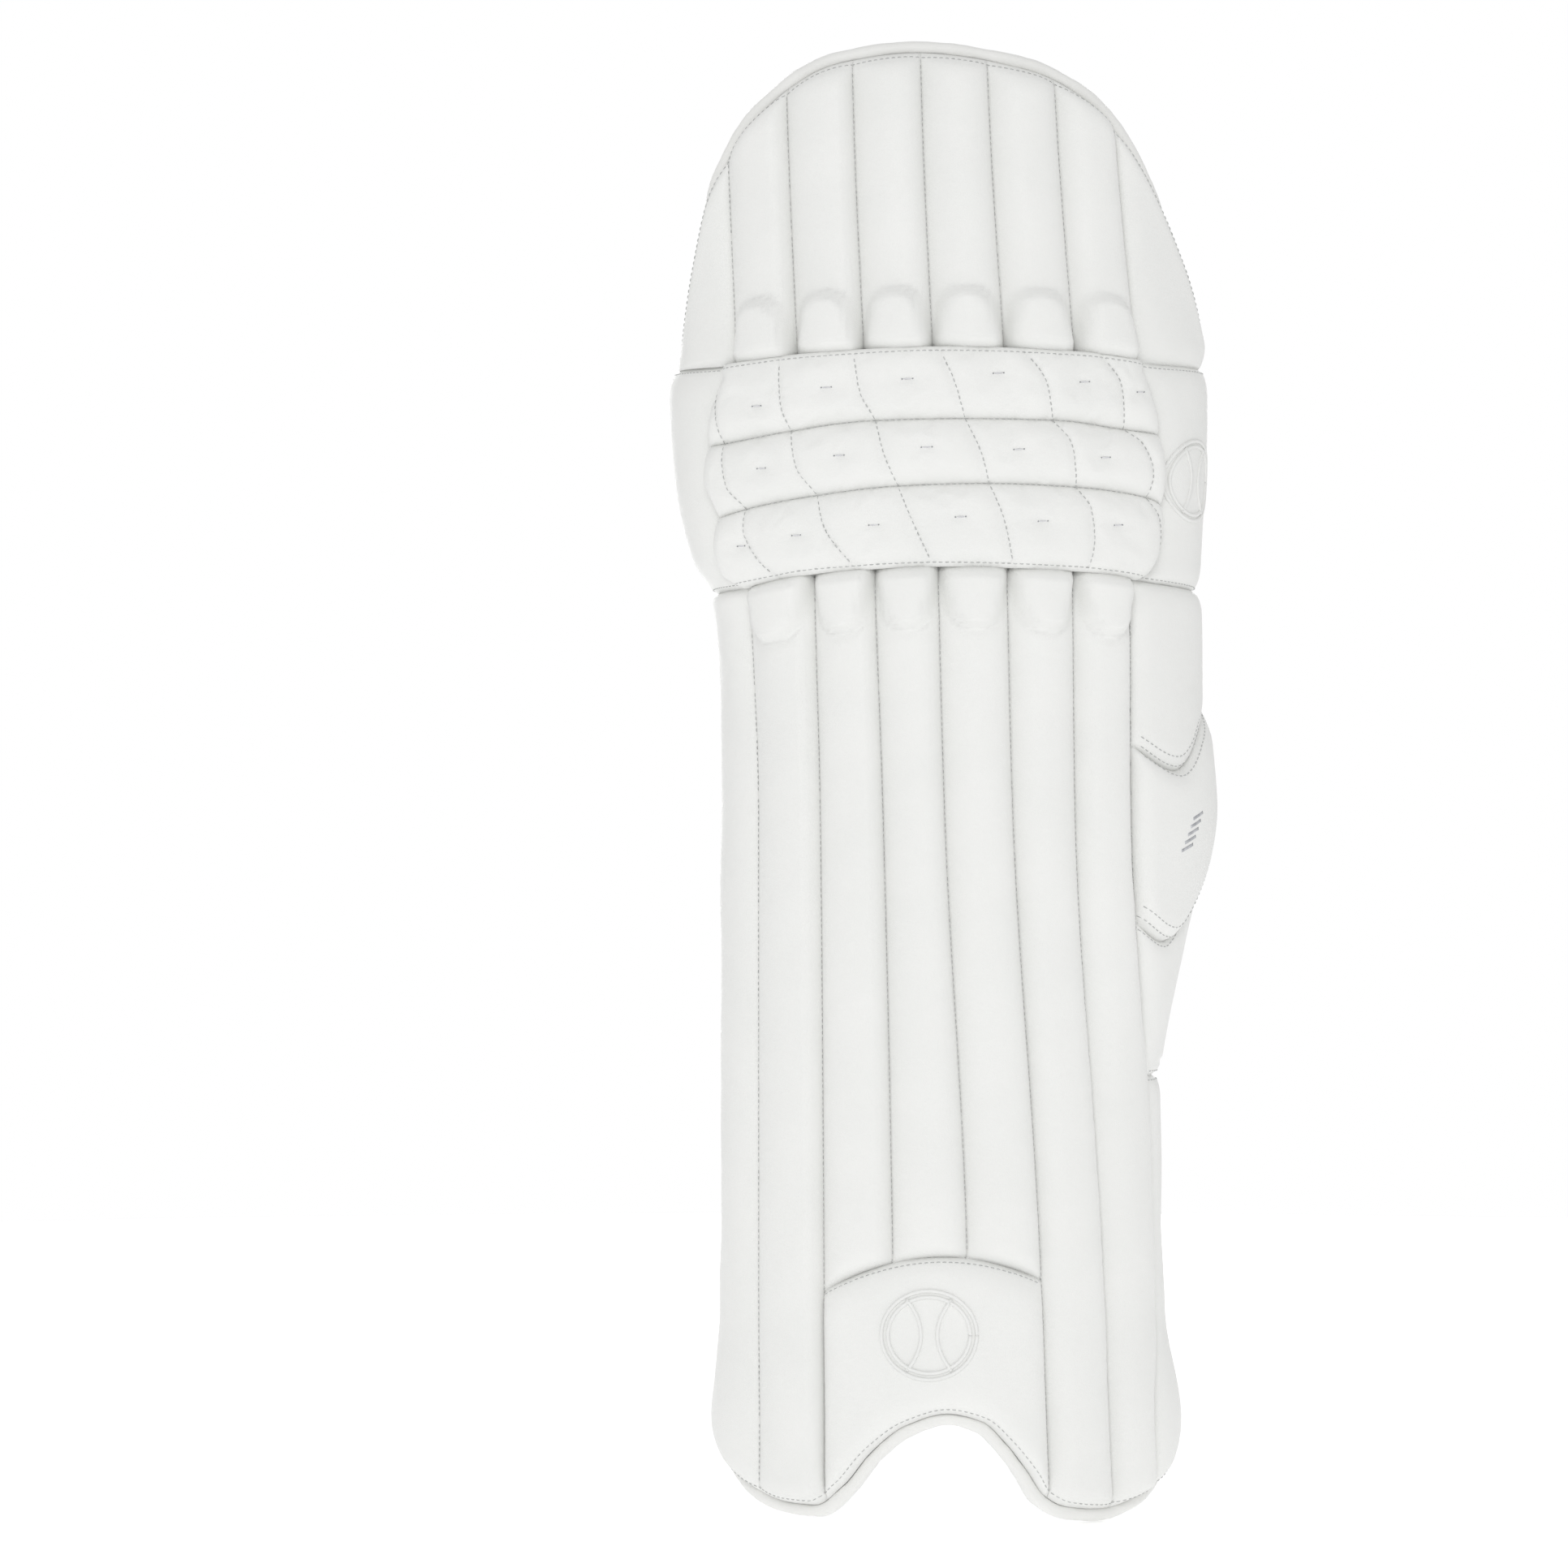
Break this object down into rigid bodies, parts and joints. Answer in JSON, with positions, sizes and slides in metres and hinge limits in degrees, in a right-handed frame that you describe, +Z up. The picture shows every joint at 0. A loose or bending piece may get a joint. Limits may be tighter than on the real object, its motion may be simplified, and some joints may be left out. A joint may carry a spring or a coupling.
{
  "type": "cricket leg pad",
  "caption": "Shin and knee guard with vertical padded ribs, quilted knee roll, flared outer wing and three rear straps.",
  "frame": {"origin": "on the leg's axis, level with the lowest point of the foot tips", "axes": "+Z up the leg, +Y towards the back of the leg, +X towards the outer wing"},
  "size_m": [0.2886, 0.1568, 0.7748],
  "materials": {
    "face_leather": "satin, fine grain",
    "foam": "matt",
    "board": "matt",
    "lining_fabric": "woven, matt",
    "binding_leather": "satin, rolled",
    "panel_leather": "gloss",
    "bolster_fabric": "quilted, soft sheen",
    "ankle_leather": "satin, pebbled",
    "webbing": "ribbed weave",
    "hook_tape": "fine hooks",
    "tab_rubber": "ribbed, matt",
    "strap_patch": "satin",
    "loop_fabric": "brushed loop pile",
    "tag_fabric": "satin weave"
  },
  "bodies": {
    "shin": {"ankle_lining_pads": "ankle_leather", "bolster_inner": "bolster_fabric", "bolster_outer": "bolster_fabric", "instep_block": "foam", "shin_binding": "binding_leather", "shin_core": "board", "shin_face_cover": "face_leather", "shin_lining": "lining_fabric", "shin_panel": "panel_leather", "shin_rib_1": "foam", "shin_rib_2": "foam", "shin_rib_3": "foam", "shin_rib_4": "foam", "shin_rib_5": "foam", "shin_rib_6": "foam", "shin_rib_7": "foam", "wing_foot_rib": "foam", "wing_pad_lower": "foam", "wing_pad_middle": "foam", "wing_pad_upper": "foam"},
    "knee": {"knee_binding": "binding_leather", "knee_core": "board", "knee_cup": "lining_fabric", "knee_flap_inner": "bolster_fabric", "knee_flap_outer": "bolster_fabric", "knee_lining": "lining_fabric", "knee_roll_cover": "face_leather", "knee_roll_lower": "foam", "knee_roll_middle": "foam", "knee_roll_upper": "foam", "knee_side_pad_inner": "face_leather", "knee_side_pad_outer": "face_leather", "size_tag": "tag_fabric"},
    "top_hat": {"hat_binding": "binding_leather", "hat_core": "board", "hat_face_cover": "face_leather", "hat_lining": "lining_fabric", "hat_rib_1": "foam", "hat_rib_2": "foam", "hat_rib_3": "foam", "hat_rib_4": "foam", "hat_rib_5": "foam", "hat_rib_6": "foam", "hat_rib_7": "foam", "hat_side_pad": "foam"},
    "top_strap": {"top_strap_webbing": "webbing"},
    "top_strap_end": {"top_strap_end": "webbing", "top_hook_tape": "hook_tape", "top_pull_tab": "tab_rubber"},
    "top_loop": {"top_loop_strap": "loop_fabric"},
    "middle_strap": {"middle_strap_webbing": "webbing"},
    "middle_strap_end": {"middle_strap_end": "webbing", "middle_hook_tape": "hook_tape", "middle_pull_tab": "strap_patch"},
    "middle_loop": {"middle_loop_strap": "loop_fabric"},
    "bottom_strap": {"bottom_strap_webbing": "webbing"},
    "bottom_strap_end": {"bottom_strap_end": "webbing", "bottom_hook_tape": "hook_tape", "bottom_pull_tab": "tab_rubber"},
    "bottom_loop": {"bottom_loop_strap": "loop_fabric"}
  },
  "joints": [
    {"name": "knee_roll_flex", "type": "hinge", "parent": "shin", "child": "knee", "pos_m": [0, -0.04, 0.494], "axis": [1, 0, 0], "range_deg": [-6, 6], "stiffness_Nm_per_rad": 8},
    {"name": "hat_flex", "type": "hinge", "parent": "knee", "child": "top_hat", "pos_m": [0, -0.04, 0.608], "axis": [1, 0, 0], "range_deg": [-6, 6], "stiffness_Nm_per_rad": 8},
    {"name": "top_strap_open", "type": "hinge", "parent": "knee", "child": "top_strap", "pos_m": [-0.10792, 0.01439, 0.53], "axis": [0, 0, 1], "range_deg": [0, 65]},
    {"name": "top_strap_peel", "type": "hinge", "parent": "top_strap", "child": "top_strap_end", "pos_m": [0.01999, 0.03886, 0.53], "axis": [0, 0, 1], "range_deg": [0, 100]},
    {"name": "top_loop_swing", "type": "hinge", "parent": "knee", "child": "top_loop", "pos_m": [0.11018, 0.01117, 0.53], "axis": [0, 0, -1], "range_deg": [0, 25]},
    {"name": "middle_strap_open", "type": "hinge", "parent": "shin", "child": "middle_strap", "pos_m": [-0.08403, 0.02172, 0.381], "axis": [0, 0, 1], "range_deg": [0, 90]},
    {"name": "middle_strap_peel", "type": "hinge", "parent": "middle_strap", "child": "middle_strap_end", "pos_m": [-0.01829, 0.04188, 0.381], "axis": [0, 0, 1], "range_deg": [0, 100]},
    {"name": "middle_loop_swing", "type": "hinge", "parent": "shin", "child": "middle_loop", "pos_m": [0.10791, 0.01846, 0.381], "axis": [0, 0, -1], "range_deg": [0, 25]},
    {"name": "bottom_strap_open", "type": "hinge", "parent": "shin", "child": "bottom_strap", "pos_m": [-0.08419, 0.02069, 0.16725], "axis": [0, 0, 1], "range_deg": [0, 90]},
    {"name": "bottom_strap_peel", "type": "hinge", "parent": "bottom_strap", "child": "bottom_strap_end", "pos_m": [0.00794, 0.04482, 0.16725], "axis": [0, 0, 1], "range_deg": [0, 100]},
    {"name": "bottom_loop_swing", "type": "hinge", "parent": "shin", "child": "bottom_loop", "pos_m": [0.08424, 0.01738, 0.16725], "axis": [0, 0, -1], "range_deg": [0, 25]}
  ],
  "couplings": [
    {"joint": "top_loop_swing", "follows": "top_strap_open", "ratio": 0.24},
    {"joint": "middle_loop_swing", "follows": "middle_strap_open", "ratio": 0.24},
    {"joint": "bottom_loop_swing", "follows": "bottom_strap_open", "ratio": 0.24}
  ]
}
